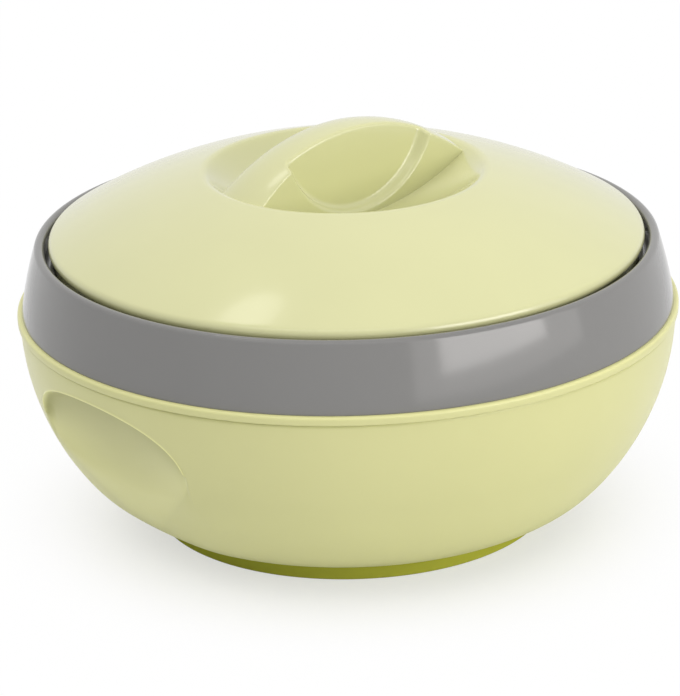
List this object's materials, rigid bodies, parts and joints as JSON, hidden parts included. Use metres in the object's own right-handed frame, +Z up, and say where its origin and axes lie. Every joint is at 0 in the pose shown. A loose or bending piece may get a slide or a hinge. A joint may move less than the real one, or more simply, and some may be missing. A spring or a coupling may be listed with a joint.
{
  "type": "insulated lunch box",
  "caption": "Round double-walled insulated serving bowl with a grey collar and a domed lift-off lid that twists to lock by an arched handle set in a hand well.",
  "frame": {"origin": "on the bowl's axis, at the level of the surface it stands on", "axes": "+Z up along the bowl's axis; X along the lid's handle and through the two finger scoops; Y across the handle"},
  "size_m": [0.25, 0.25, 0.1529],
  "materials": {
    "lime_shell": "gloss",
    "grey_collar": "gloss",
    "steel_liner": "satin",
    "insulation": "matte",
    "silicone": "matte",
    "white_liner": "satin"
  },
  "bodies": {
    "base": {"outer_bowl": "lime_shell", "bowl_foam": "insulation", "inner_bowl": "steel_liner", "collar_ring": "grey_collar", "rim_seal": "silicone", "base_plug": "lime_shell"},
    "lid_seal": {"lid_gasket": "silicone"},
    "lid": {"lid_dome": "lime_shell", "lid_foam": "insulation", "lid_liner": "white_liner", "lid_plug": "white_liner"}
  },
  "joints": [
    {"name": "lid_lift", "type": "slide", "parent": "base", "child": "lid_seal", "axis": [0, 0, 1], "range_m": [0, 0.12]},
    {"name": "lid_twist", "type": "hinge", "parent": "lid_seal", "child": "lid", "pos_m": [0, 0, 0.1], "axis": [0, 0, 1], "range_deg": [-38, 0]}
  ]
}
